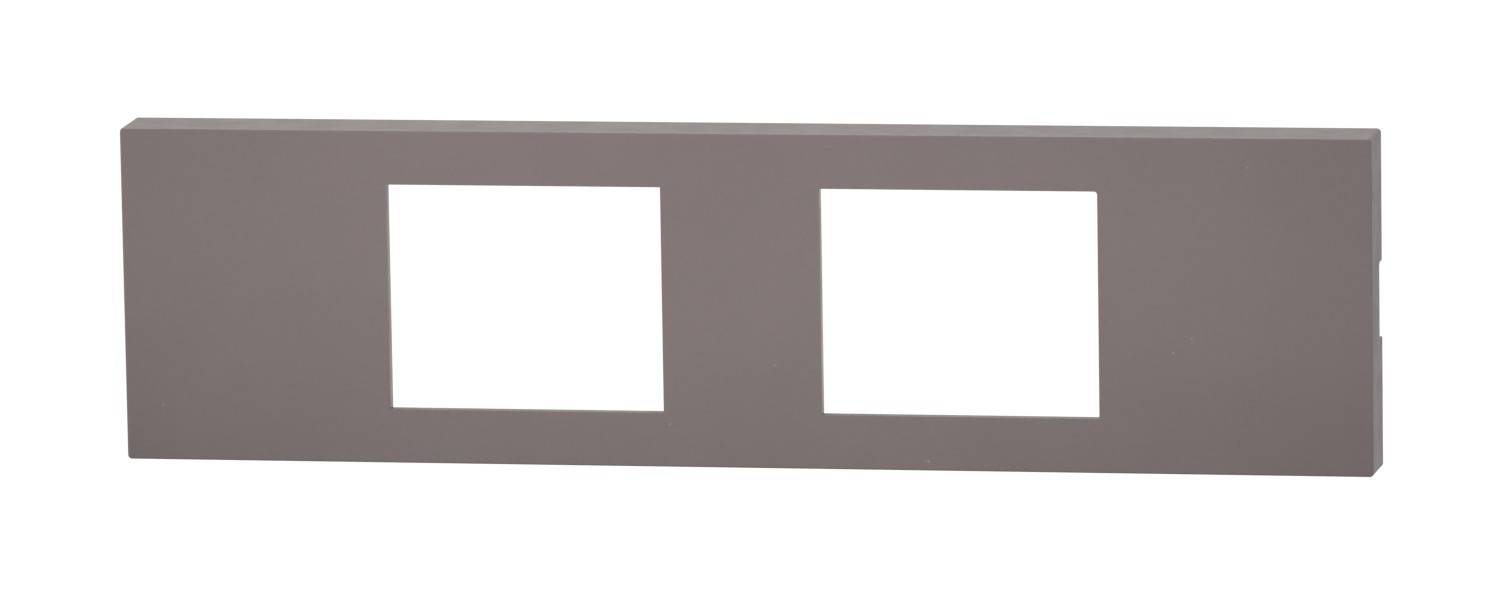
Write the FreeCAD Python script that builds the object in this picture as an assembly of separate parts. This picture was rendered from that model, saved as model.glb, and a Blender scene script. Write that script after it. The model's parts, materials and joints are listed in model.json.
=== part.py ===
import FreeCAD, Part
import math
import os

# A two-window cover frame for flush wall switches, with the steel mounting frame that it snaps onto.
# Millimetres. X runs along the plate, Z is up, and the front faces -Y.
# The origin is the centre of the wall plane, which the cover's rim and the mounting frame both touch.

# Cover moulding: the width and height are those of the front, and the walls spread towards the rim
COVER_WIDTH = 306.0
COVER_HEIGHT = 81.6
COVER_DEPTH = 17.0
DRAFT_DEGREES = 1.0
FRONT_THICKNESS = 2.9
WALL_THICKNESS = 2.2
CORNER_RADIUS = 1.0
FRONT_EDGE_RADIUS = 0.6

# Windows: three 22.5 mm switch modules side by side
MODULE_WIDTH = 22.5
MODULES_PER_WINDOW = 3
WINDOW_WIDTH = MODULE_WIDTH * MODULES_PER_WINDOW
WINDOW_HEIGHT = 55.1
WINDOW_PITCH = 106.4
WINDOW_EDGE_RADIUS = 0.1
ROUNDED_WINDOW_CORNER_RADIUS = 0.8

# Pry notches in the back edge of both end walls, each with two small teeth on its floor
NOTCH_HEIGHT = 18.6
NOTCH_DEPTH = 4.6
NOTCH_CORNER_CUT = 0.9
NOTCH_TOOTH_DEPTH = 1.5
NOTCH_TEETH = [(7.1, 2.4), (4.4, 1.3)]

# Ribs inside the cover
RIM_RIB_SETBACK = 2.4
RIM_RIB_THICKNESS = 1.2
RIM_RIB_HEIGHT = 2.4
END_RIB_HEIGHT = 2.0
END_RIB_THICKNESS = 1.2
END_RIB_COLUMNS = [100.0, 112.0, 124.0]
END_RIB_ROWS = [-24.0, -8.0, 8.0, 24.0]

# Shallow round marks that the mould's ejector pins leave on the back of the front panel
EJECTOR_MARK_RADIUS = 2.5
EJECTOR_MARK_DEPTH = 0.15
EJECTOR_MARK_PLACES = [(8.0, 12.0), (53.2, 33.9), (94.5, 12.0), (106.0, 16.0), (118.0, 16.0)]

# Snap posts inside the cover, each with a ratchet of three teeth for a spring
POST_COLUMNS = [20.0, 87.0, 138.0]
POST_WIDTH = 8.0
POST_THICKNESS = 1.8
POST_INNER_FACE = 35.0
POST_END_GAP = 2.3
POST_TOOTH_HEIGHT = 0.55
POST_TOOTH_BASE = 1.2
POST_TOOTH_PITCH = 1.4
FIRST_POST_TOOTH = 5.9
BUTTRESS_THICKNESS = 1.5
BUTTRESS_BACK = 5.0

# Mounting frame: pressed steel sheet that lies on the wall inside the cover
SHEET = 1.5
FRAME_GAP = 0.8
FRAME_CORNER_RADIUS = 3.0
OPENING_OUTER_MARGIN = 4.0
OPENING_INNER_MARGIN = 3.0
OPENING_HEIGHT_MARGIN = 3.05
MODULE_SLOT_WIDTH = 6.0
MODULE_SLOT_HEIGHT = 1.4
MODULE_SLOT_OFFSET = 1.4

# End brackets: angles spot-welded to the ends of the frame, one behind each pry notch
BRACKET_SHEET = 1.2
BRACKET_HEIGHT = 48.0
BRACKET_FOOT = 7.0
BRACKET_REACH = 7.0
BRACKET_INNER_BEND = 0.8
BRACKET_CORNER_RADIUS = 2.0

# Box screws: M3.5, at the two fixing lugs of each three-module wall box
BOX_SCREW_SPACING = 83.5
SLOT_LENGTH = 5.5
SLOT_WIDTH = 4.0
THREAD_RADIUS = 1.75
SHANK_RADIUS = 1.4
SCREW_LENGTH = 16.0
SCREW_TIP = 0.6
PAN_HEAD_RADIUS = 3.3
PAN_HEAD_HEIGHT = 2.4
PAN_HEAD_ROUNDING = 0.9
CROSS_LENGTH = 3.8
CROSS_WIDTH = 0.9
CROSS_DEPTH = 1.3
WASHER_RADIUS = 4.0
WASHER_HOLE_RADIUS = 1.9
WASHER_THICKNESS = 0.8

# Spare holes for wall screws, in the blank ends of the frame
WALL_HOLE_RADIUS = 2.1
WALL_HOLE_SPACING_X = 250.0
WALL_HOLE_SPACING_Z = 40.0

# Retaining springs: bent stainless strip, one for each post
SPRING_THICKNESS = 0.4
SPRING_WIDTH = 7.0
SPRING_FOOT_START = 30.9
SPRING_LEG_FACE = 34.2
SPRING_KNEE_START = 6.2
SPRING_KNEE = 7.0
SPRING_KNEE_REACH = 0.55
SPRING_TIP = 8.4
SPRING_TIP_RETREAT = 0.3
RIVET_HEIGHT_ON_FRAME = 32.3
RIVET_RADIUS = 1.0
RIVET_HEAD_RADIUS = 1.4
RIVET_HEAD_HEIGHT = 0.6
RIVET_HOLE_RADIUS = 1.05

# Earth terminal on the blank end beside the left window
TERMINAL_X = -97.0
TERMINAL_Z = -20.0
TERMINAL_WIDTH = 8.0
TERMINAL_HEIGHT = 7.0
TERMINAL_DEPTH = 6.5
TERMINAL_WIRE_RADIUS = 1.7
TERMINAL_WIRE_DEPTH = 2.7
TERMINAL_STAKE_RADIUS = 1.5
TERMINAL_STAKE_HOLE = 1.55
EARTH_SCREW_HOLE = 1.5
EARTH_SCREW_RADIUS = 1.44
EARTH_HEAD_RADIUS = 2.6
EARTH_HEAD_HEIGHT = 1.8
EARTH_SCREW_REACH = 3.2
EARTH_SLOT_WIDTH = 0.8
EARTH_SLOT_DEPTH = 0.9

# Derived positions
FRONT = -COVER_DEPTH
PANEL_BACK = FRONT + FRONT_THICKNESS
RIM_SPREAD = COVER_DEPTH * math.tan(math.radians(DRAFT_DEGREES))
RIM_HALF_WIDTH = COVER_WIDTH / 2 + RIM_SPREAD
RIM_HALF_HEIGHT = COVER_HEIGHT / 2 + RIM_SPREAD
INNER_HALF_WIDTH = COVER_WIDTH / 2 - WALL_THICKNESS
INNER_HALF_HEIGHT = COVER_HEIGHT / 2 - WALL_THICKNESS
FRAME_HALF_WIDTH = INNER_HALF_WIDTH - FRAME_GAP
FRAME_HALF_HEIGHT = INNER_HALF_HEIGHT - FRAME_GAP
WINDOW_CENTRES = [-WINDOW_PITCH / 2, WINDOW_PITCH / 2]
FRAME_FRONT = -SHEET
PAST = 1.0
TOWARDS_WALL = FreeCAD.Vector(0, 1, 0)
TOWARDS_FRONT = FreeCAD.Vector(0, -1, 0)


def block(x, y, z):
    """A box between two x, two y and two z values, each given as a pair."""
    low = FreeCAD.Vector(min(x), min(y), min(z))
    return Part.makeBox(max(x) - min(x), max(y) - min(y), max(z) - min(z), low)


def centred(value, size):
    return (value - size / 2, value + size / 2)


def rod(radius, x, z, y_start, y_end):
    """A cylinder along Y."""
    direction = TOWARDS_WALL if y_end > y_start else TOWARDS_FRONT
    return Part.makeCylinder(radius, abs(y_end - y_start), FreeCAD.Vector(x, y_start, z), direction)


def prism_along_x(points, x_low, width):
    """A prism along X from an outline of (y, z) points."""
    corners = [FreeCAD.Vector(x_low, y, z) for y, z in points]
    outline = Part.makePolygon(corners + corners[:1])
    return Part.Face(outline).extrude(FreeCAD.Vector(width, 0, 0))


def edges_along_y(shape):
    found = []
    for edge in shape.Edges:
        ends = [vertex.Point for vertex in edge.Vertexes]
        if len(ends) == 2 and abs(ends[0].x - ends[1].x) < 1e-6 and abs(ends[0].z - ends[1].z) < 1e-6:
            found.append(edge)
    return found


def edges_from_front_to_rim(shape):
    return [e for e in shape.Edges if e.BoundBox.YLength > COVER_DEPTH - 1e-6]


def edges_along_z_at(shape, x, y):
    found = []
    for edge in shape.Edges:
        box = edge.BoundBox
        on_x = abs(box.XMin - x) < 1e-6 and abs(box.XMax - x) < 1e-6
        on_y = abs(box.YMin - y) < 1e-6 and abs(box.YMax - y) < 1e-6
        if on_x and on_y:
            found.append(edge)
    return found


def edges_in_plane_y(shape, y):
    return [e for e in shape.Edges if abs(e.BoundBox.YMin - y) < 1e-6 and abs(e.BoundBox.YMax - y) < 1e-6]


def top_and_bottom(shape):
    """The shape above and its mirror image below the plate's middle line."""
    return [shape, shape.mirror(FreeCAD.Vector(0, 0, 0), FreeCAD.Vector(0, 0, 1))]


def left_and_right(shape):
    return [shape, shape.mirror(FreeCAD.Vector(0, 0, 0), FreeCAD.Vector(1, 0, 0))]


def box_screw_places():
    half = BOX_SCREW_SPACING / 2
    return [centre + side * half for centre in WINDOW_CENTRES for side in (-1, 1)]


def spring_places():
    return sorted([-x for x in POST_COLUMNS] + POST_COLUMNS)


def window_cutters():
    """The two window openings. One corner of the right window is rounder than the rest."""
    cutters = []
    for centre in WINDOW_CENTRES:
        x = centred(centre, WINDOW_WIDTH)
        z = centred(0, WINDOW_HEIGHT)
        cutter = block(x, (FRONT - PAST, PANEL_BACK + PAST), z)
        if centre > 0:
            corner = [
                e for e in edges_along_y(cutter) if e.BoundBox.XMin > centre and e.BoundBox.ZMin > 0
            ]
            cutter = cutter.makeFillet(ROUNDED_WINDOW_CORNER_RADIUS, corner)
        cutters.append(cutter)
    return cutters


def window_front_edges(shape):
    """The front edges of both windows, once they are cut."""
    half_pitch = WINDOW_PITCH / 2
    reach = WINDOW_WIDTH / 2 + 0.1
    chosen = []
    for edge in edges_in_plane_y(shape, FRONT):
        middle = edge.CenterOfMass
        near_window = abs(abs(middle.x) - half_pitch) < reach
        if near_window and abs(middle.z) < WINDOW_HEIGHT / 2 + 0.1:
            chosen.append(edge)
    return chosen


def drafted_block():
    """The cover's outer shape: its four walls lean outwards from the front to the rim."""
    front_x = COVER_WIDTH / 2
    front_z = COVER_HEIGHT / 2
    low = (-front_x, FRONT, -front_z, -RIM_HALF_HEIGHT, -RIM_HALF_WIDTH)
    high = (front_x, 0, front_z, RIM_HALF_HEIGHT, RIM_HALF_WIDTH)
    return Part.makeWedge(*low, *high)


def cover_shell():
    """The open-backed tray with rounded corners, rounded front edges and two windows."""
    shell = drafted_block()
    shell = shell.makeFillet(CORNER_RADIUS, edges_from_front_to_rim(shell))
    shell = shell.makeFillet(FRONT_EDGE_RADIUS, edges_in_plane_y(shell, FRONT))
    inner_width = (-INNER_HALF_WIDTH, INNER_HALF_WIDTH)
    inner_height = (-INNER_HALF_HEIGHT, INNER_HALF_HEIGHT)
    shell = shell.cut(block(inner_width, (PANEL_BACK, PAST), inner_height))
    shell = shell.cut(window_cutters())
    return shell.makeFillet(WINDOW_EDGE_RADIUS, window_front_edges(shell))


def pry_notch():
    """The right end's notch: open at the back edge, with its upper inner corner cut off."""
    half = NOTCH_HEIGHT / 2
    outline = [
        (PAST, -half),
        (-NOTCH_DEPTH, -half),
        (-NOTCH_DEPTH, half - NOTCH_CORNER_CUT),
        (-NOTCH_DEPTH + NOTCH_CORNER_CUT, half),
        (PAST, half),
    ]
    return prism_along_x(outline, INNER_HALF_WIDTH - PAST, WALL_THICKNESS + 2 * PAST)


def notch_teeth():
    """Two small teeth on the floor of the right end's notch."""
    teeth = []
    for centre, height in NOTCH_TEETH:
        half = height / 2
        outline = [
            (-NOTCH_DEPTH - PAST, centre - half),
            (-NOTCH_DEPTH + NOTCH_TOOTH_DEPTH / 2, centre - half),
            (-NOTCH_DEPTH + NOTCH_TOOTH_DEPTH, centre - half / 2),
            (-NOTCH_DEPTH + NOTCH_TOOTH_DEPTH, centre + half / 2),
            (-NOTCH_DEPTH + NOTCH_TOOTH_DEPTH / 2, centre + half),
            (-NOTCH_DEPTH - PAST, centre + half),
        ]
        teeth.append(prism_along_x(outline, INNER_HALF_WIDTH, WALL_THICKNESS))
    return teeth


def rim_ribs():
    """A low rib round the back of each window, set back from its edge."""
    ribs = []
    depth = (PANEL_BACK - PAST, PANEL_BACK + RIM_RIB_HEIGHT)
    for centre in WINDOW_CENTRES:
        inner_x = WINDOW_WIDTH + 2 * RIM_RIB_SETBACK
        inner_z = WINDOW_HEIGHT + 2 * RIM_RIB_SETBACK
        outer_x = inner_x + 2 * RIM_RIB_THICKNESS
        outer_z = inner_z + 2 * RIM_RIB_THICKNESS
        ring = block(centred(centre, outer_x), depth, centred(0, outer_z))
        ribs.append(ring.cut(block(centred(centre, inner_x), depth, centred(0, inner_z))))
    return ribs


def end_ribs():
    """The lattice of ribs that stiffens the right blank end from behind."""
    depth = (PANEL_BACK - PAST, PANEL_BACK + END_RIB_HEIGHT)
    ribs = []
    for x in END_RIB_COLUMNS:
        columns = (-INNER_HALF_HEIGHT - PAST, INNER_HALF_HEIGHT + PAST)
        ribs.append(block(centred(x, END_RIB_THICKNESS), depth, columns))
    for z in END_RIB_ROWS:
        rows = (END_RIB_COLUMNS[0], INNER_HALF_WIDTH + PAST)
        ribs.append(block(rows, depth, centred(z, END_RIB_THICKNESS)))
    return ribs


def ejector_marks():
    marks = []
    for x, z in EJECTOR_MARK_PLACES:
        for mark in top_and_bottom(rod(EJECTOR_MARK_RADIUS, x, z, PANEL_BACK - EJECTOR_MARK_DEPTH, PAST)):
            marks += left_and_right(mark)
    return marks


def snap_post(x):
    """An upper snap post: a flat leg with three ratchet teeth, and a buttress to the cover's wall."""
    outer_face = POST_INNER_FACE + POST_THICKNESS
    leg = block(centred(x, POST_WIDTH), (PANEL_BACK - PAST, -POST_END_GAP), (POST_INNER_FACE, outer_face))
    buttress_z = (outer_face - PAST / 2, INNER_HALF_HEIGHT + PAST)
    buttress = block(centred(x, BUTTRESS_THICKNESS), (PANEL_BACK - PAST, -BUTTRESS_BACK), buttress_z)
    post = leg.fuse(buttress)
    for number in range(3):
        middle = -FIRST_POST_TOOTH + number * POST_TOOTH_PITCH
        half = POST_TOOTH_BASE / 2
        outline = [
            (middle - half, POST_INNER_FACE + PAST / 2),
            (middle - half, POST_INNER_FACE),
            (middle, POST_INNER_FACE - POST_TOOTH_HEIGHT),
            (middle + half, POST_INNER_FACE),
            (middle + half, POST_INNER_FACE + PAST / 2),
        ]
        post = post.fuse(prism_along_x(outline, x - POST_WIDTH / 2, POST_WIDTH))
    return post


def cover_plate():
    cover = cover_shell()
    cover = cover.cut(left_and_right(pry_notch()) + ejector_marks())
    additions = rim_ribs()
    for tooth in notch_teeth():
        additions += left_and_right(tooth)
    for rib in end_ribs():
        additions += left_and_right(rib)
    for x in spring_places():
        additions += top_and_bottom(snap_post(x))
    return cover.fuse(additions).removeSplitter()


def frame_openings():
    """The two module openings, a little wider than the cover's windows all round."""
    cutters = []
    inner_edge = WINDOW_PITCH / 2 - WINDOW_WIDTH / 2 - OPENING_INNER_MARGIN
    outer_edge = WINDOW_PITCH / 2 + WINDOW_WIDTH / 2 + OPENING_OUTER_MARGIN
    half_height = WINDOW_HEIGHT / 2 + OPENING_HEIGHT_MARGIN
    depth = (FRAME_FRONT - PAST, PAST)
    cutters += left_and_right(block((inner_edge, outer_edge), depth, (-half_height, half_height)))
    slot_low = half_height + MODULE_SLOT_OFFSET
    for centre in WINDOW_CENTRES:
        for step in (-1, 0, 1):
            x = centred(centre + step * MODULE_WIDTH, MODULE_SLOT_WIDTH)
            slot = block(x, depth, (slot_low, slot_low + MODULE_SLOT_HEIGHT))
            cutters += top_and_bottom(slot)
    return cutters


def frame_holes():
    """Slots for the box screws, and holes for wall screws, spring rivets and the earth terminal."""
    cutters = []
    depth = (FRAME_FRONT - PAST, PAST)
    half_straight = (SLOT_LENGTH - SLOT_WIDTH) / 2
    for x in box_screw_places():
        cutters.append(block(centred(x, 2 * half_straight), depth, centred(0, SLOT_WIDTH)))
        for side in (-1, 1):
            cutters.append(rod(SLOT_WIDTH / 2, x + side * half_straight, 0, *depth))
    wall_hole = rod(WALL_HOLE_RADIUS, WALL_HOLE_SPACING_X / 2, WALL_HOLE_SPACING_Z / 2, *depth)
    for hole in left_and_right(wall_hole):
        cutters += top_and_bottom(hole)
    for x in spring_places():
        cutters += top_and_bottom(rod(RIVET_HOLE_RADIUS, x, RIVET_HEIGHT_ON_FRAME, *depth))
    cutters.append(rod(TERMINAL_STAKE_HOLE, TERMINAL_X, TERMINAL_Z, *depth))
    return cutters


def mounting_frame():
    width = (-FRAME_HALF_WIDTH, FRAME_HALF_WIDTH)
    height = (-FRAME_HALF_HEIGHT, FRAME_HALF_HEIGHT)
    plate = block(width, (FRAME_FRONT, 0), height)
    plate = plate.makeFillet(FRAME_CORNER_RADIUS, edges_along_y(plate))
    return plate.cut(frame_openings() + frame_holes())


def end_bracket():
    """The right end's angle, whose upright leg takes the blade of the screwdriver that pries the cover."""
    height = centred(0, BRACKET_HEIGHT)
    outer = FRAME_HALF_WIDTH
    foot = block((outer - BRACKET_FOOT, outer), (FRAME_FRONT - BRACKET_SHEET, FRAME_FRONT), height)
    leg = block((outer - BRACKET_SHEET, outer), (-BRACKET_REACH, FRAME_FRONT), height)
    angle = foot.fuse(leg).removeSplitter()
    bends = [
        (outer, FRAME_FRONT, BRACKET_INNER_BEND + BRACKET_SHEET),
        (outer - BRACKET_SHEET, FRAME_FRONT - BRACKET_SHEET, BRACKET_INNER_BEND),
    ]
    for x, y, radius in bends:
        angle = angle.makeFillet(radius, edges_along_z_at(angle, x, y))
    free_corners = [e for e in angle.Edges if is_free_corner(e, outer)]
    return angle.makeFillet(BRACKET_CORNER_RADIUS, free_corners)


def is_free_corner(edge, outer):
    """Whether an edge is a corner of the foot's or the leg's free end, through the sheet's thickness."""
    box = edge.BoundBox
    at_height_end = abs(abs(edge.CenterOfMass.z) - BRACKET_HEIGHT / 2) < 1e-6
    foot_corner = abs(box.XMax - outer + BRACKET_FOOT) < 1e-6
    leg_corner = abs(box.YMax + BRACKET_REACH) < 1e-6
    return at_height_end and (foot_corner or leg_corner)


def box_screw(x):
    """A pan-head screw: plain shank in the frame, thread behind the wall plane."""
    seat = FRAME_FRONT - WASHER_THICKNESS
    head = rod(PAN_HEAD_RADIUS, x, 0, seat, seat - PAN_HEAD_HEIGHT)
    head_front = seat - PAN_HEAD_HEIGHT
    head = head.makeFillet(PAN_HEAD_ROUNDING, edges_in_plane_y(head, head_front))
    recess_depth = (head_front - PAST, head_front + CROSS_DEPTH)
    head = head.cut(block(centred(x, CROSS_LENGTH), recess_depth, centred(0, CROSS_WIDTH)))
    head = head.cut(block(centred(x, CROSS_WIDTH), recess_depth, centred(0, CROSS_LENGTH)))
    shank = rod(SHANK_RADIUS, x, 0, seat - PAST / 2, PAST / 2)
    thread_end = seat + SCREW_LENGTH - SCREW_TIP
    thread = rod(THREAD_RADIUS, x, 0, 0, thread_end)
    tip_base = FreeCAD.Vector(x, thread_end, 0)
    tip = Part.makeCone(THREAD_RADIUS, THREAD_RADIUS - SCREW_TIP, SCREW_TIP, tip_base, TOWARDS_WALL)
    return head.fuse([shank, thread, tip]).removeSplitter()


def screw_washer(x):
    back = FRAME_FRONT
    front = FRAME_FRONT - WASHER_THICKNESS
    disc = rod(WASHER_RADIUS, x, 0, back, front)
    return disc.cut(rod(WASHER_HOLE_RADIUS, x, 0, back + PAST, front - PAST))


def retaining_spring(x):
    """An upper spring: foot on the frame, leg towards the front, and a knee bent towards the post."""
    leg_face = SPRING_LEG_FACE
    leg_back = SPRING_LEG_FACE - SPRING_THICKNESS
    foot_front = FRAME_FRONT - SPRING_THICKNESS
    outline = [
        (FRAME_FRONT, SPRING_FOOT_START),
        (FRAME_FRONT, leg_face),
        (-SPRING_KNEE_START, leg_face),
        (-SPRING_KNEE, leg_face + SPRING_KNEE_REACH),
        (-SPRING_TIP, leg_face - SPRING_TIP_RETREAT),
        (-SPRING_TIP - SPRING_THICKNESS / 2, leg_back - SPRING_TIP_RETREAT / 2),
        (-SPRING_KNEE, leg_face + SPRING_KNEE_REACH - 1.2 * SPRING_THICKNESS),
        (-SPRING_KNEE_START, leg_back),
        (foot_front, leg_back),
        (foot_front, SPRING_FOOT_START),
    ]
    strip = prism_along_x(outline, x - SPRING_WIDTH / 2, SPRING_WIDTH)
    return strip.cut(rod(RIVET_HOLE_RADIUS, x, RIVET_HEIGHT_ON_FRAME, FRAME_FRONT - PAST, PAST))


def spring_rivet(x):
    """The rivet of an upper spring, with its tail flush with the back of the frame."""
    seat = FRAME_FRONT - SPRING_THICKNESS
    head = rod(RIVET_HEAD_RADIUS, x, RIVET_HEIGHT_ON_FRAME, seat, seat - RIVET_HEAD_HEIGHT)
    head_edges = edges_in_plane_y(head, seat - RIVET_HEAD_HEIGHT)
    head = head.makeFillet(RIVET_HEAD_HEIGHT / 2, head_edges)
    tail = rod(RIVET_RADIUS, x, RIVET_HEIGHT_ON_FRAME, seat - RIVET_HEAD_HEIGHT / 4, 0)
    return head.fuse(tail).removeSplitter()


def earth_terminal():
    """A brass terminal block, staked into the frame, with its wire hole along Z."""
    front = FRAME_FRONT - TERMINAL_DEPTH
    x = centred(TERMINAL_X, TERMINAL_WIDTH)
    z = centred(TERMINAL_Z, TERMINAL_HEIGHT)
    body = block(x, (front, FRAME_FRONT), z)
    body = body.makeChamfer(0.4, edges_in_plane_y(body, front))
    body = body.fuse(rod(TERMINAL_STAKE_RADIUS, TERMINAL_X, TERMINAL_Z, FRAME_FRONT - PAST, 0))
    wire_start = FreeCAD.Vector(TERMINAL_X, FRAME_FRONT - TERMINAL_WIRE_DEPTH, min(z) - PAST)
    wire_hole = Part.makeCylinder(TERMINAL_WIRE_RADIUS, TERMINAL_HEIGHT + 2 * PAST, wire_start)
    middle = FRAME_FRONT - TERMINAL_WIRE_DEPTH
    screw_hole = rod(EARTH_SCREW_HOLE, TERMINAL_X, TERMINAL_Z, middle, front - PAST)
    return body.cut([wire_hole, screw_hole]).removeSplitter()


def earth_screw():
    seat = FRAME_FRONT - TERMINAL_DEPTH
    head_front = seat - EARTH_HEAD_HEIGHT
    head = rod(EARTH_HEAD_RADIUS, TERMINAL_X, TERMINAL_Z, seat, head_front)
    head = head.makeFillet(EARTH_HEAD_HEIGHT / 4, edges_in_plane_y(head, head_front))
    slot_x = centred(TERMINAL_X, 2 * EARTH_HEAD_RADIUS + PAST)
    slot_depth = (head_front - PAST, head_front + EARTH_SLOT_DEPTH)
    head = head.cut(block(slot_x, slot_depth, centred(TERMINAL_Z, EARTH_SLOT_WIDTH)))
    reach = seat + EARTH_SCREW_REACH
    shank = rod(EARTH_SCREW_RADIUS, TERMINAL_X, TERMINAL_Z, seat - PAST / 2, reach)
    return head.fuse(shank).removeSplitter()


def all_nodes():
    right_bracket, left_bracket = left_and_right(end_bracket())
    nodes = {
        "cover_plate": cover_plate(),
        "mounting_frame": mounting_frame(),
        "box_screws": Part.makeCompound([box_screw(x) for x in box_screw_places()]),
        "screw_washers": Part.makeCompound([screw_washer(x) for x in box_screw_places()]),
        "left_end_bracket": left_bracket,
        "right_end_bracket": right_bracket,
        "earth_terminal": earth_terminal(),
        "earth_screw": earth_screw(),
    }
    rivets = []
    for number, x in enumerate(spring_places(), start=1):
        upper, lower = top_and_bottom(retaining_spring(x))
        nodes["upper_spring_" + str(number)] = upper
        nodes["lower_spring_" + str(number)] = lower
        rivets += top_and_bottom(spring_rivet(x))
    nodes["spring_rivets"] = Part.makeCompound(rivets)
    return nodes


os.makedirs("parts", exist_ok=True)
for name, shape in all_nodes().items():
    shape.exportStep(os.path.join("parts", name + ".step"))
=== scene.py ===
import json
import math

import bmesh
import bpy
from mathutils import Matrix, Vector


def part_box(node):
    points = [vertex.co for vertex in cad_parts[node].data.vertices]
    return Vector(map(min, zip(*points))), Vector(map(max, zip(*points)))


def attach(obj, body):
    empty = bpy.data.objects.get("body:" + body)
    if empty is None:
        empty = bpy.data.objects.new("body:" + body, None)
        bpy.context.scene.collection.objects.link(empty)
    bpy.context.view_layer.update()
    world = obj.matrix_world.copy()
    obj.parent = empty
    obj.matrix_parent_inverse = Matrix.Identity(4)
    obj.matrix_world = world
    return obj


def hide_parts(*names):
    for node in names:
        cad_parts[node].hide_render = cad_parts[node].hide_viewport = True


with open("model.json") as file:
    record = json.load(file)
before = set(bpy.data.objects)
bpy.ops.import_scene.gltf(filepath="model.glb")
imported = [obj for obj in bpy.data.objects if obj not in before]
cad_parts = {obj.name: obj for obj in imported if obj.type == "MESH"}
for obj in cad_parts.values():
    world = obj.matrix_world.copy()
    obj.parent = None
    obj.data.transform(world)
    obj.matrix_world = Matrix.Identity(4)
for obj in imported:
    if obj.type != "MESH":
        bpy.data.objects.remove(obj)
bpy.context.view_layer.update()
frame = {"nodes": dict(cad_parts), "record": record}

# Metres, in the CAD model's frame: X along the plate, -Y out of the wall, +Z up.
NODES = frame["nodes"]
COVER_LOW, COVER_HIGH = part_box("cover_plate")

# Camera: a long lens from the upper right, with its picture tilted slightly
CAMERA_AZIMUTH = math.radians(10.399)
CAMERA_ELEVATION = math.radians(8.78)
CAMERA_ROLL = math.radians(-0.921)
CAMERA_DISTANCE = 2.4398
CAMERA_TARGET = Vector((0.00221, COVER_LOW.y, 0.00047))
SENSOR_WIDTH = 36.0
FOCAL_LENGTH = 242.97

# Floor: a pale disc below the plate, mottled slightly, which turns clear from the fade's start to its rim
FLOOR_DROP = 0.30
FLOOR_RADIUS = 1.25
FLOOR_FADE_START = 0.7
FLOOR_SIDES = 96
FLOOR_ALBEDO = 0.62
FLOOR_MOTTLE = 1.03

# Light: a white sky that is brighter behind the wall plane, softboxes in front, overhead behind the plate
# and on both sides, each given as place, width, height and power, and a wide soft beam on the upper middle
# of the front. The sky's blend runs over the sine of the angle that a direction makes with the wall plane.
SKY_FRONT = 0.55
SKY_BACK = 1.045
SKY_BLEND_START = 0.0
SKY_BLEND_END = 0.95
SOFTBOXES = {
    "key_softbox": (Vector((-0.3, -1.6, 1.1)), 1.2, 1.2, 0.8),
    "overhead_softbox": (Vector((-0.12, 0.50, 1.1)), 0.9, 0.35, 5.8),
    "left_softbox": (Vector((-1.2, -0.5, 0.15)), 0.6, 0.6, 3.6),
    "right_softbox": (Vector((1.2, -0.5, 0.15)), 0.6, 0.6, 2.5),
}
BEAM_PLACE = Vector((-0.1, -1.5, 0.7))
BEAM_AIM = Vector((-0.010, COVER_LOW.y, 0.026))
BEAM_ANGLE = math.radians(8.6)
BEAM_STRETCH = 2.4
BEAM_SOURCE_RADIUS = 0.05
BEAM_POWER = 90.0

# Cover: how far the smoother finish of its front rim reaches, and the x that is past both windows but
# short of the end walls
RIM_WIDTH = 0.0007
PAST_WINDOWS = 0.110

# Larger dust specks on the front of the cover: x, z and radius
DUST_SPECKS = [
    (-0.0180, -0.0303, 0.0004),
    (0.0453, -0.0385, 0.0005),
    (0.0082, -0.0155, 0.0003),
    (0.1050, -0.0113, 0.0004),
    (0.1095, -0.0078, 0.0003),
    (0.1232, 0.0337, 0.0003),
    (-0.1437, -0.0272, 0.0004),
]

# Box screws: M3.5 with a domed pan head, along +Y
SCREW_SEGMENTS = 24
HEAD_RADIUS = 0.0033
HEAD_HEIGHT = 0.0024
HEAD_FLAT_RADIUS = 0.0004
HEAD_EDGE = 0.0002
DOME_HEIGHT = 0.55 * HEAD_HEIGHT
DOME_STEPS = 8
SHANK_RADIUS = 0.0014
THREAD_MAJOR = 0.00175
THREAD_MINOR = 0.00138
THREAD_PITCH = 0.0006
RIDGE_SLOPE = 1.6
RIDGE_GAP = 0.3
ROWS_PER_PITCH = 10
TIP_RADIUS = 0.00115
TIP_LENGTH = 0.0006
SCREW_TURNS_DEGREES = [12.0, 67.0, 38.0, 81.0]
SMOOTH_DEGREES = 35

# Cross recess: two blades that taper from the head's front to the recess's bottom. Their cutters start in
# front of the head by the lead, and are larger there by the growth.
RECESS_LENGTH = 0.0038
RECESS_WIDTH = 0.0009
RECESS_DEPTH = 0.0016
CUTTER_LEAD = 0.0004
CUTTER_GROWTH = 1.1
BOTTOM_LENGTH = 0.42 * RECESS_LENGTH
BOTTOM_WIDTH = 0.7 * RECESS_WIDTH


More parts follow.
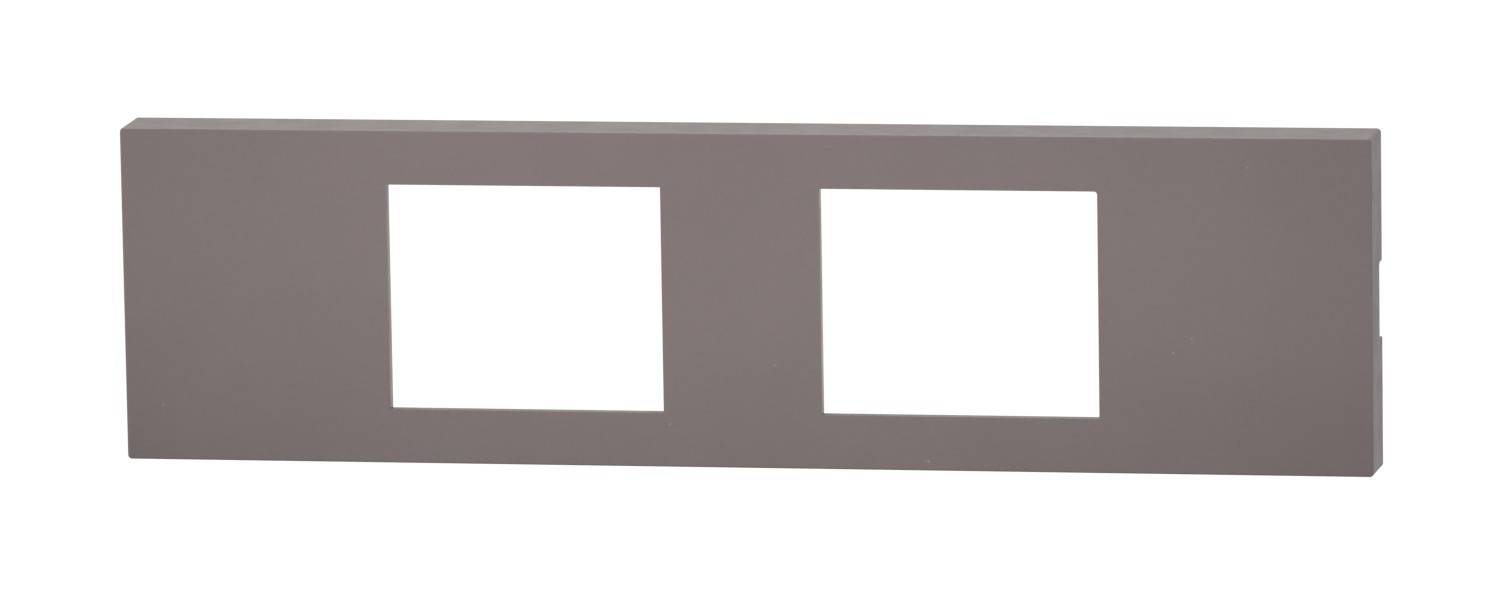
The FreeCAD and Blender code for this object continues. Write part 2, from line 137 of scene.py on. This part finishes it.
class Paint:
    """One material, with short calls for the procedural nodes that its look is made of."""

    def __init__(self, name):
        self.material = bpy.data.materials.new(name)
        self.material.use_nodes = True
        self.nodes = self.material.node_tree.nodes
        self.links = self.material.node_tree.links
        self.shader = self.nodes["Principled BSDF"]
        self.place = self.nodes.new("ShaderNodeTexCoord").outputs["Object"]

    def node(self, kind, inputs, **settings):
        """A new node. Each input is given as a plain value or as another node's output."""
        made = self.nodes.new(kind)
        for key, value in settings.items():
            setattr(made, key, value)
        for socket, value in inputs.items():
            if isinstance(value, bpy.types.NodeSocket):
                self.links.new(value, made.inputs[socket])
            else:
                made.inputs[socket].default_value = value
        return made

    def stretch(self, x, y, z, turn=(0, 0, 0)):
        """The place on the part, scaled along each axis to that many features per metre."""
        inputs = {"Vector": self.place, "Rotation": turn, "Scale": (x, y, z)}
        return self.node("ShaderNodeMapping", inputs).outputs["Vector"]

    def distance(self, point):
        """How far the place on the part is from the point."""
        inputs = {0: self.place, 1: point}
        return self.node("ShaderNodeVectorMath", inputs, operation="DISTANCE").outputs["Value"]

    def noise(self, scale, detail, place=None):
        inputs = {"Vector": place or self.place, "Scale": scale, "Detail": detail}
        return self.node("ShaderNodeTexNoise", inputs).outputs["Fac"]

    def ramp(self, value, start, end, low=0.0, high=1.0):
        """The value's range from start to end, eased and carried over to low and high."""
        inputs = {"Value": value, "From Min": start, "From Max": end, "To Min": low, "To Max": high}
        return self.node("ShaderNodeMapRange", inputs, interpolation_type="SMOOTHSTEP").outputs["Result"]

    def axes(self, vector):
        """The vector's X, Y and Z, by name."""
        return self.node("ShaderNodeSeparateXYZ", {0: vector}).outputs

    def maths(self, operation, first, second=0.0):
        return self.node("ShaderNodeMath", {0: first, 1: second}, operation=operation).outputs[0]

    def mix(self, factor, first, second):
        """A colour between two colours. The numbers are the Mix node's colour sockets."""
        inputs = {0: factor, 6: first, 7: second}
        return self.node("ShaderNodeMix", inputs, data_type="RGBA").outputs[2]

    def sharp_edges(self, radius):
        """0 on flat surfaces, rising to 1 at sharp edges."""
        softened = self.node("ShaderNodeBevel", {"Radius": radius}, samples=6).outputs["Normal"]
        true_normal = self.nodes.new("ShaderNodeNewGeometry").outputs["Normal"]
        vectors = {0: softened, 1: true_normal}
        likeness = self.node("ShaderNodeVectorMath", vectors, operation="DOT_PRODUCT").outputs["Value"]
        return self.ramp(likeness, 0.995, 0.88)

    def hollows(self, distance):
        """0 in the open, rising to 1 in recesses and inner corners; the metals darken their colour by it as
        painted shade.
        """
        inputs = {"Distance": distance}
        openness = self.node("ShaderNodeAmbientOcclusion", inputs, samples=6, only_local=True).outputs["AO"]
        return self.ramp(openness, 0.75, 0.25)

    def scratches(self, turn, sparseness):
        """Thin straight scratches in patches."""
        lines = self.noise(1.0, 3.0, self.stretch(45, 45, 2200, turn))
        patches = self.noise(60, 1.0)
        thin = self.ramp(lines, sparseness, sparseness + 0.04)
        return self.maths("MULTIPLY", thin, self.ramp(patches, 0.5, 0.62))

    def front_rim(self, width):
        """1 on the rounded rim round the front, falling to 0 over the width, inwards and backwards."""
        place = self.axes(self.place)
        depth = self.maths("SUBTRACT", place["Y"], COVER_LOW.y)
        past_x = self.maths("SUBTRACT", self.maths("ABSOLUTE", place["X"]), COVER_HIGH.x)
        past_z = self.maths("SUBTRACT", self.maths("ABSOLUTE", place["Z"]), COVER_HIGH.z)
        near_front = self.ramp(depth, width, 0.4 * width)
        near_outline = self.ramp(self.maths("MAXIMUM", past_x, past_z), -width, -0.5 * width)
        return self.maths("MULTIPLY", near_front, near_outline)

    def window_sides(self):
        """1 on walls that face along X up to the windows' outer sides, 0 on the end walls and the front."""
        normal = self.nodes.new("ShaderNodeNewGeometry").outputs["Normal"]
        sideways = self.ramp(self.maths("ABSOLUTE", self.axes(normal)["X"]), 0.8, 0.95)
        from_middle = self.maths("ABSOLUTE", self.axes(self.place)["X"])
        return self.maths("MULTIPLY", sideways, self.ramp(from_middle, PAST_WINDOWS + 0.01, PAST_WINDOWS))

    def relief(self, layers):
        """Bump from layers of (height, depth in metres), each on top of the ones before it."""
        normal = None
        for height, depth in layers:
            inputs = {"Height": height, "Distance": depth}
            if normal:
                inputs["Normal"] = normal
            normal = self.node("ShaderNodeBump", inputs).outputs["Normal"]
        self.links.new(normal, self.shader.inputs["Normal"])

    def finish(self, colour, roughness):
        self.links.new(colour, self.shader.inputs["Base Color"])
        self.links.new(roughness, self.shader.inputs["Roughness"])
        return self.material


def metal(name):
    """Paint for a bare metal."""
    paint = Paint(name)
    paint.shader.inputs["Metallic"].default_value = 1.0
    return paint


def cover_plastic():
    """Taupe plastic: fine eroded grain, faint flow clouds, dust, scuffs, and edges lightened partly as rubbed
    wear and partly as a painted highlight. The front's rim and the windows' upright walls are smoother than
    the rest."""
    paint = Paint("taupe_plastic")
    paint.shader.inputs["Specular IOR Level"].default_value = 0.35
    clouds = paint.noise(28, 3.0)
    grain = paint.noise(2400, 2.0)
    speckle = paint.noise(900, 1.0)
    colour = paint.mix(paint.ramp(clouds, 0.3, 0.7), (0.142, 0.1165, 0.1145, 1), (0.149, 0.1225, 0.1205, 1))
    colour = paint.mix(paint.ramp(speckle, 0.35, 0.75, 0.0, 0.10), colour, (0.19, 0.158, 0.154, 1))
    colour = paint.mix(paint.ramp(grain, 0.6, 0.3, 0.0, 0.12), colour, (0.115, 0.092, 0.09, 1))
    # Edges lightened in colour: partly rubbed wear, partly a painted highlight along the front's top crease.
    edges = paint.sharp_edges(0.0004)
    colour = paint.mix(paint.maths("MULTIPLY", edges, 0.22), colour, (0.24, 0.205, 0.20, 1))
    scuffs = paint.scratches((0, math.radians(24), 0), 0.735)
    colour = paint.mix(paint.maths("MULTIPLY", scuffs, 0.22), colour, (0.27, 0.235, 0.23, 1))
    dust = front_dust(paint)
    colour = paint.mix(paint.maths("MULTIPLY", dust, 0.16), colour, (0.55, 0.52, 0.50, 1))
    roughness = paint.ramp(paint.noise(140, 3.0), 0.3, 0.7, 0.47, 0.55)
    roughness = paint.maths("SUBTRACT", roughness, paint.maths("MULTIPLY", edges, 0.08))
    roughness = paint.maths("ADD", roughness, paint.maths("MULTIPLY", scuffs, 0.12))
    roughness = paint.maths("SUBTRACT", roughness, paint.maths("MULTIPLY", paint.front_rim(RIM_WIDTH), 0.26))
    roughness = paint.maths("SUBTRACT", roughness, paint.maths("MULTIPLY", paint.window_sides(), 0.20))
    paint.relief([(clouds, 0.000015), (speckle, 0.000003), (grain, 0.0000025), (dust, 0.000015)])
    return paint.finish(colour, roughness)


def front_dust(paint):
    """Specks strewn over every surface, and the few larger ones on the front."""
    strewn = paint.node("ShaderNodeTexVoronoi", {"Vector": paint.place, "Scale": 95.0}).outputs["Distance"]
    dust = paint.ramp(strewn, 0.026, 0.012, 0.0, 0.6)
    for x, z, radius in DUST_SPECKS:
        away = paint.distance((x, COVER_LOW.y, z))
        dust = paint.maths("MAXIMUM", dust, paint.ramp(away, radius, radius * 0.4))
    return dust


def zinc_sheet():
    """Rolled steel with a passivated zinc coat: rolling lines, blotches, scratches and bright edges."""
    paint = metal("zinc_sheet_metal")
    rolling = paint.noise(1.0, 4.0, paint.stretch(14, 1400, 1400))
    blotches = paint.noise(55, 4.0)
    tint = paint.noise(16, 2.0)
    colour = paint.mix(paint.ramp(blotches, 0.32, 0.68), (0.51, 0.52, 0.535, 1), (0.60, 0.605, 0.61, 1))
    colour = paint.mix(paint.ramp(tint, 0.4, 0.66, 0.0, 0.25), colour, (0.60, 0.58, 0.50, 1))
    colour = paint.mix(paint.ramp(rolling, 0.35, 0.7, 0.0, 0.35), colour, (0.72, 0.73, 0.74, 1))
    scratches = paint.scratches((0, math.radians(33), 0), 0.67)
    colour = paint.mix(paint.maths("MULTIPLY", scratches, 0.5), colour, (0.80, 0.80, 0.80, 1))
    edges = paint.sharp_edges(0.0003)
    colour = paint.mix(paint.maths("MULTIPLY", edges, 0.6), colour, (0.80, 0.80, 0.81, 1))
    roughness = paint.ramp(blotches, 0.3, 0.7, 0.42, 0.27)
    roughness = paint.maths("ADD", roughness, paint.ramp(rolling, 0.3, 0.7, 0.0, 0.12))
    roughness = paint.maths("SUBTRACT", roughness, paint.maths("MULTIPLY", scratches, 0.1))
    paint.relief([(blotches, 0.00003), (rolling, 0.000008)])
    return paint.finish(colour, roughness)


def zinc_screw():
    """Plated steel: blotches, turning marks, painted shade in the recesses and rubbed edges."""
    paint = metal("zinc_screw_metal")
    turning = paint.noise(1.0, 3.0, paint.stretch(300, 5200, 300))
    blotches = paint.noise(420, 3.0)
    colour = paint.mix(paint.ramp(blotches, 0.3, 0.7), (0.50, 0.50, 0.48, 1), (0.68, 0.67, 0.63, 1))
    # Painted shade: the colour darkens in recesses and inner corners.
    colour = paint.mix(paint.maths("MULTIPLY", paint.hollows(0.0012), 0.75), colour, (0.16, 0.15, 0.14, 1))
    edges = paint.sharp_edges(0.00015)
    colour = paint.mix(paint.maths("MULTIPLY", edges, 0.6), colour, (0.85, 0.85, 0.84, 1))
    roughness = paint.ramp(turning, 0.3, 0.7, 0.24, 0.42)
    paint.relief([(blotches, 0.000012), (turning, 0.000004)])
    return paint.finish(colour, roughness)


def stainless_strip():
    """Rolled spring strip, with fine lines along its length, dark stains and bright edges."""
    paint = metal("stainless_strip")
    lines = paint.noise(1.0, 4.0, paint.stretch(8000, 120, 120))
    stains = paint.noise(240, 3.0)
    colour = paint.mix(paint.ramp(lines, 0.3, 0.7), (0.53, 0.52, 0.505, 1), (0.60, 0.59, 0.57, 1))
    colour = paint.mix(paint.ramp(stains, 0.5, 0.75, 0.0, 0.35), colour, (0.36, 0.33, 0.29, 1))
    edges = paint.sharp_edges(0.00012)
    colour = paint.mix(paint.maths("MULTIPLY", edges, 0.5), colour, (0.78, 0.78, 0.77, 1))
    roughness = paint.ramp(lines, 0.3, 0.7, 0.25, 0.33)
    paint.relief([(stains, 0.000008), (lines, 0.0000004)])
    return paint.finish(colour, roughness)


def rivet_metal():
    """Aluminium rivets, dulled and slightly hammered by setting."""
    paint = metal("rivet_aluminium_metal")
    hammered = paint.noise(1300, 2.0)
    dulling = paint.noise(500, 3.0)
    colour = paint.mix(paint.ramp(dulling, 0.3, 0.7), (0.60, 0.60, 0.61, 1), (0.76, 0.76, 0.77, 1))
    # Painted shade: the colour darkens in recesses and inner corners.
    colour = paint.mix(paint.maths("MULTIPLY", paint.hollows(0.0008), 0.6), colour, (0.22, 0.21, 0.20, 1))
    roughness = paint.ramp(hammered, 0.3, 0.7, 0.30, 0.46)
    paint.relief([(hammered, 0.00002)])
    return paint.finish(colour, roughness)


def terminal_brass():
    """Sawn and milled brass bar, tarnished in patches, with bright corners."""
    paint = metal("terminal_brass_metal")
    milling = paint.noise(1.0, 3.0, paint.stretch(3200, 260, 260))
    tarnish = paint.noise(380, 3.0)
    colour = paint.mix(paint.ramp(tarnish, 0.35, 0.7), (0.70, 0.52, 0.23, 1), (0.50, 0.34, 0.15, 1))
    # Painted shade: the colour darkens in recesses and inner corners.
    colour = paint.mix(paint.maths("MULTIPLY", paint.hollows(0.0015), 0.6), colour, (0.20, 0.13, 0.06, 1))
    edges = paint.sharp_edges(0.0002)
    colour = paint.mix(paint.maths("MULTIPLY", edges, 0.6), colour, (0.86, 0.70, 0.38, 1))
    roughness = paint.ramp(milling, 0.3, 0.7, 0.24, 0.42)
    paint.relief([(tarnish, 0.000012), (milling, 0.000006)])
    return paint.finish(colour, roughness)


def dress(prefixes, material):
    """Gives the material to every CAD node whose name starts with one of the prefixes."""
    for name, node in NODES.items():
        if name.startswith(prefixes):
            for slot in node.material_slots:
                slot.material = material


def make_camera():
    """The camera, turned round the target by the azimuth, the elevation and, about its own axis, the roll."""
    azimuth, elevation, roll = CAMERA_AZIMUTH, CAMERA_ELEVATION, CAMERA_ROLL
    backwards = Vector((
        math.sin(azimuth) * math.cos(elevation),
        -math.cos(azimuth) * math.cos(elevation),
        math.sin(elevation),
    ))
    level_right = Vector((0, 0, 1)).cross(backwards).normalized()
    level_up = backwards.cross(level_right)
    right = math.cos(roll) * level_right + math.sin(roll) * level_up
    up = math.cos(roll) * level_up - math.sin(roll) * level_right
    place = CAMERA_TARGET + backwards * CAMERA_DISTANCE
    data = bpy.data.cameras.new("camera")
    data.sensor_width = SENSOR_WIDTH
    data.lens = FOCAL_LENGTH
    camera = bpy.data.objects.new("camera", data)
    rotation = Matrix((right, up, backwards)).transposed().to_4x4()
    camera.matrix_world = Matrix.Translation(place) @ rotation
    bpy.context.scene.collection.objects.link(camera)
    bpy.context.scene.camera = camera


def floor_paint():
    """Pale matt paint that turns clear towards the floor's rim."""
    paint = Paint("floor_paint")
    pale = (FLOOR_ALBEDO,) * 3 + (1,)
    paler = (FLOOR_ALBEDO * FLOOR_MOTTLE,) * 3 + (1,)
    colour = paint.mix(paint.ramp(paint.noise(8, 2.0), 0.3, 0.7), pale, paler)
    away = paint.distance((0, 0, COVER_LOW.z - FLOOR_DROP))
    opacity = paint.ramp(away, FLOOR_RADIUS, FLOOR_FADE_START)
    paint.links.new(opacity, paint.shader.inputs["Alpha"])
    return paint.finish(colour, paint.ramp(paint.noise(30, 2.0), 0.3, 0.7, 0.85, 0.95))


def make_floor():
    z = COVER_LOW.z - FLOOR_DROP
    rim = []
    for side in range(FLOOR_SIDES):
        turn = 2 * math.pi * side / FLOOR_SIDES
        rim.append((FLOOR_RADIUS * math.cos(turn), FLOOR_RADIUS * math.sin(turn), z))
    mesh = bpy.data.meshes.new("floor")
    mesh.from_pydata(rim, [], [tuple(range(FLOOR_SIDES))])
    floor = bpy.data.objects.new("floor", mesh)
    bpy.context.scene.collection.objects.link(floor)
    mesh.materials.append(floor_paint())


def aim(light, place, target):
    """Puts a light at the place, turned to the target and hidden from the camera."""
    light.location = place
    light.rotation_euler = (target - place).to_track_quat("-Z", "Y").to_euler()
    light.visible_camera = False
    bpy.context.scene.collection.objects.link(light)


def make_softbox(name, place, width, height, power):
    data = bpy.data.lights.new(name, "AREA")
    data.shape = "RECTANGLE"
    data.size = width
    data.size_y = height
    data.energy = power
    aim(bpy.data.objects.new(name, data), place, Vector((0, 0, 0)))


def make_front_beam():
    """The beam on the front, kept out of reflections so that it draws no bright line on the rounded rim."""
    data = bpy.data.lights.new("front_beam", "SPOT")
    data.spot_size = BEAM_ANGLE
    data.spot_blend = 1.0
    data.shadow_soft_size = BEAM_SOURCE_RADIUS
    data.energy = BEAM_POWER
    beam = bpy.data.objects.new("front_beam", data)
    beam.scale = (BEAM_STRETCH, 1, 1)
    beam.visible_glossy = False
    aim(beam, BEAM_PLACE, BEAM_AIM)


def make_sky():
    """A white world whose strength grows from the front to the back."""
    world = bpy.data.worlds.new("studio")
    world.use_nodes = True
    nodes = world.node_tree.nodes
    links = world.node_tree.links
    direction = nodes.new("ShaderNodeTexCoord").outputs["Generated"]
    split = nodes.new("ShaderNodeSeparateXYZ")
    links.new(direction, split.inputs[0])
    blend = nodes.new("ShaderNodeMapRange")
    blend.interpolation_type = "SMOOTHSTEP"
    blend.inputs["From Min"].default_value = SKY_BLEND_START
    blend.inputs["From Max"].default_value = SKY_BLEND_END
    blend.inputs["To Min"].default_value = SKY_FRONT
    blend.inputs["To Max"].default_value = SKY_BACK
    links.new(split.outputs["Y"], blend.inputs["Value"])
    links.new(blend.outputs["Result"], nodes["Background"].inputs["Strength"])
    nodes["Background"].inputs["Color"].default_value = (1, 1, 1, 1)
    bpy.context.scene.world = world


def screw_places():
    """The x of each box screw, from the bolt patterns that the record states."""
    places = []
    for mount in frame["record"]["mounts"]:
        if mount["name"].endswith("box_screws"):
            half = mount["dims"]["spacing_x_mm"] / 2000
            places += [mount["pos_m"][0] - half, mount["pos_m"][0] + half]
    return sorted(places)


def head_outline(front, seat):
    """The screw head's (y, radius) points, from the small flat on its front to the shank."""
    outline = [(front, HEAD_FLAT_RADIUS)]
    for step in range(1, DOME_STEPS + 1):
        angle = math.radians(90 * step / DOME_STEPS)
        y = front + DOME_HEIGHT * (1 - math.cos(angle))
        outline.append((y, HEAD_RADIUS * math.sin(angle)))
    outline += [(seat - HEAD_EDGE, HEAD_RADIUS), (seat, HEAD_RADIUS - HEAD_EDGE), (seat, SHANK_RADIUS)]
    return outline


def thread_radius(y, turn, tip):
    """The radius at a depth and a turn from 0 to 1: a thread that eases in, and tapers at the tip."""
    phase = (y / THREAD_PITCH - turn) % 1.0
    ridge = min(1.0, max(0.0, RIDGE_SLOPE * (1 - abs(2 * phase - 1)) - RIDGE_GAP))
    ease = min(1.0, y / THREAD_PITCH)
    radius = THREAD_MINOR + (THREAD_MAJOR - THREAD_MINOR) * ridge * ease
    taper = max(0.0, (y - (tip - TIP_LENGTH)) / TIP_LENGTH)
    return radius + (TIP_RADIUS - radius) * taper


def screw_rows(front, seat, tip, turns):
    """The (y, radii) of the screw's rings, front to tip, with a radius for each of the turns."""
    plain = head_outline(front, seat) + [(0.0, SHANK_RADIUS)]
    rows = [(y, [radius] * len(turns)) for y, radius in plain]
    count = round(tip / THREAD_PITCH * ROWS_PER_PITCH)
    for number in range(1, count + 1):
        y = tip * number / count
        rows.append((y, [thread_radius(y, turn, tip) for turn in turns]))
    return rows


def screw_mesh(front, seat, tip):
    """A screw along +Y about the Y axis: head, shank and helical thread in one closed skin."""
    turns = [segment / SCREW_SEGMENTS for segment in range(SCREW_SEGMENTS)]
    mesh = bmesh.new()
    rings = []
    for y, radii in screw_rows(front, seat, tip, turns):
        ring = []
        for turn, radius in zip(turns, radii):
            angle = 2 * math.pi * turn
            ring.append(mesh.verts.new((radius * math.cos(angle), y, radius * math.sin(angle))))
        rings.append(ring)
    for near, far in zip(rings, rings[1:]):
        for segment in range(SCREW_SEGMENTS):
            after = (segment + 1) % SCREW_SEGMENTS
            mesh.faces.new((near[segment], near[after], far[after], far[segment]))
    mesh.faces.new(rings[0][::-1])
    mesh.faces.new(rings[-1])
    bmesh.ops.recalc_face_normals(mesh, faces=mesh.faces)
    return mesh


def recess_blade(front, along_x):
    """One tapered blade of the cross recess's cutter."""
    ends = (
        (front - CUTTER_LEAD, RECESS_LENGTH * CUTTER_GROWTH, RECESS_WIDTH * CUTTER_GROWTH),
        (front + RECESS_DEPTH, BOTTOM_LENGTH, BOTTOM_WIDTH),
    )
    blade = bmesh.new()
    corners = []
    for y, length, width in ends:
        half_x, half_z = (length / 2, width / 2) if along_x else (width / 2, length / 2)
        for x, z in ((-half_x, -half_z), (half_x, -half_z), (half_x, half_z), (-half_x, half_z)):
            corners.append(blade.verts.new((x, y, z)))
    for face in ((0, 1, 2, 3), (7, 6, 5, 4), (0, 4, 5, 1), (1, 5, 6, 2), (2, 6, 7, 3), (3, 7, 4, 0)):
        blade.faces.new([corners[index] for index in face])
    bmesh.ops.recalc_face_normals(blade, faces=blade.faces)
    return blade


def new_object(name, mesh):
    """A linked object from a bmesh, which is freed."""
    data = bpy.data.meshes.new(name)
    mesh.to_mesh(data)
    mesh.free()
    made = bpy.data.objects.new(name, data)
    bpy.context.scene.collection.objects.link(made)
    return made


def cut_away(piece, cutter):
    """Boolean-cuts the cutter out of the piece, and removes the cutter."""
    modifier = piece.modifiers.new("cut", "BOOLEAN")
    modifier.operation = "DIFFERENCE"
    modifier.solver = "EXACT"
    modifier.object = cutter
    graph = bpy.context.evaluated_depsgraph_get()
    result = bpy.data.meshes.new_from_object(piece.evaluated_get(graph))
    piece.modifiers.remove(modifier)
    piece.data = result
    bpy.data.objects.remove(cutter)


def smooth_by_angle(piece, degrees):
    """Smooth shading, apart from edges sharper than the angle."""
    for face in piece.data.polygons:
        face.use_smooth = True
    piece.data.set_sharp_from_angle(angle=math.radians(degrees))


def make_box_screws(material):
    """The four box screws, with real threads and cross recesses, in place of the plain CAD ones."""
    low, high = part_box("box_screws")
    front, tip = low.y, high.y
    seat = front + HEAD_HEIGHT
    for number, x in enumerate(screw_places()):
        piece = new_object("box_screw_" + str(number + 1), screw_mesh(front, seat, tip))
        for along_x in (True, False):
            cut_away(piece, new_object("recess_cutter", recess_blade(front, along_x)))
        turned = Matrix.Rotation(math.radians(SCREW_TURNS_DEGREES[number]), 4, "Y")
        piece.data.transform(Matrix.Translation((x, 0, 0)) @ turned)
        smooth_by_angle(piece, SMOOTH_DEGREES)
        piece.data.materials.append(material)
        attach(piece, "root")
        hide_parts("box_screws")


view = bpy.context.scene.view_settings
view.view_transform = "Standard"
view.look = "None"
make_camera()
make_floor()
make_sky()
for softbox, (place, width, height, power) in SOFTBOXES.items():
    make_softbox(softbox, place, width, height, power)
make_front_beam()

screw_metal = zinc_screw()
dress(("cover_plate",), cover_plastic())
dress(("mounting_frame", "left_end", "right_end"), zinc_sheet())
dress(("screw_washers", "earth_screw"), screw_metal)
dress(("upper_spring", "lower_spring"), stainless_strip())
dress(("spring_rivets",), rivet_metal())
dress(("earth_terminal",), terminal_brass())
make_box_screws(screw_metal)
